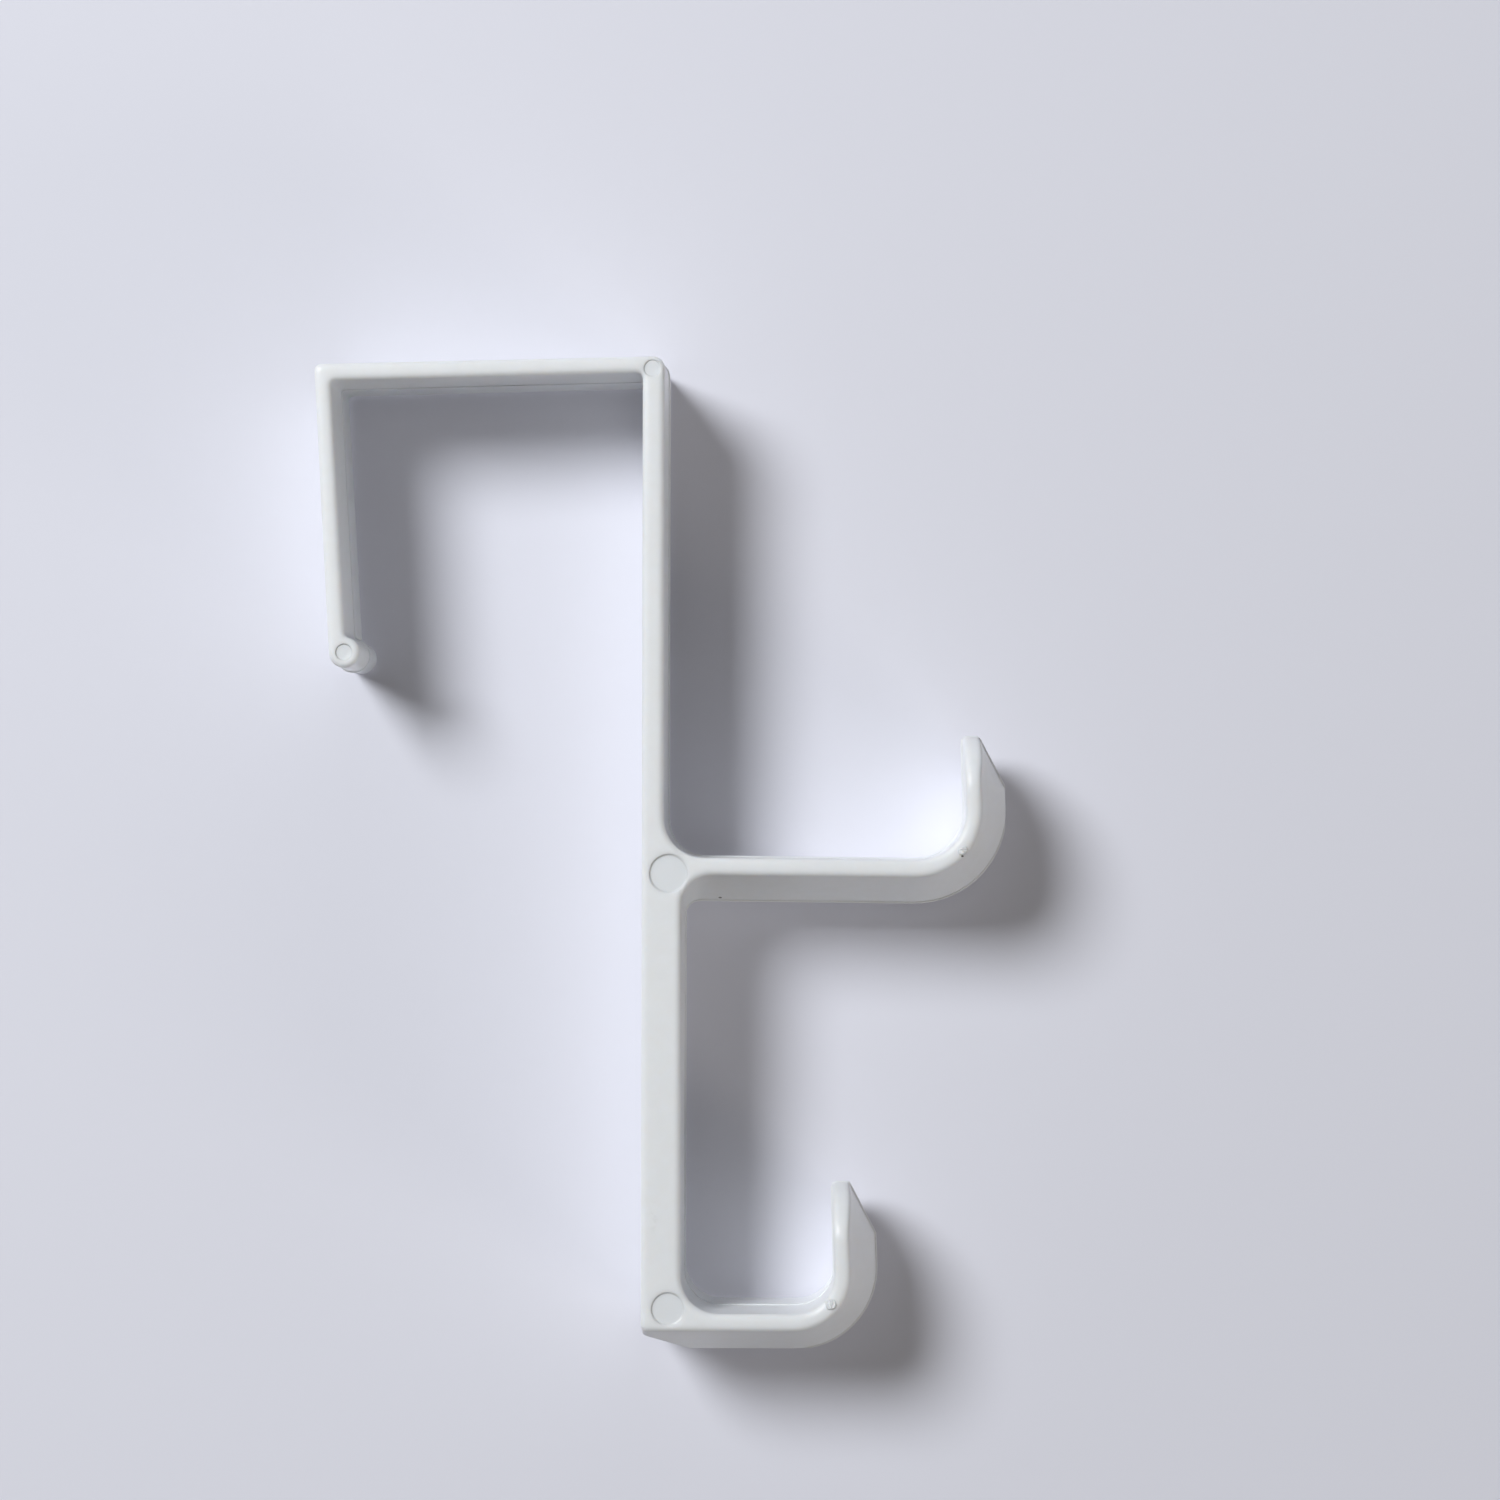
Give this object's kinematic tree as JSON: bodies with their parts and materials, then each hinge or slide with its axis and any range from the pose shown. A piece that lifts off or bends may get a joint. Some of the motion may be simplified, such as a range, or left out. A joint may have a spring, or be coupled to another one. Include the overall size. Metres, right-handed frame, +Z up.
{
  "type": "over-door hook",
  "caption": "One-piece moulded bracket that grips the top of a door, with a flat strip down its face that carries a long hook above a short one.",
  "frame": {"origin": "where the door's face meets its top edge, at mid-width: the strip's flat back is the plane X = 0, and the top plate's underside meets it at Z = 0", "axes": "+X out of the door's face, towards the hooks; Y across the strip's width; +Z up"},
  "size_m": [0.0844, 0.019, 0.1216],
  "materials": {
    "hook_plastic": "glossy white injection-moulded plastic"
  },
  "bodies": {
    "root": {"door_hook": "hook_plastic"}
  },
  "joints": []
}
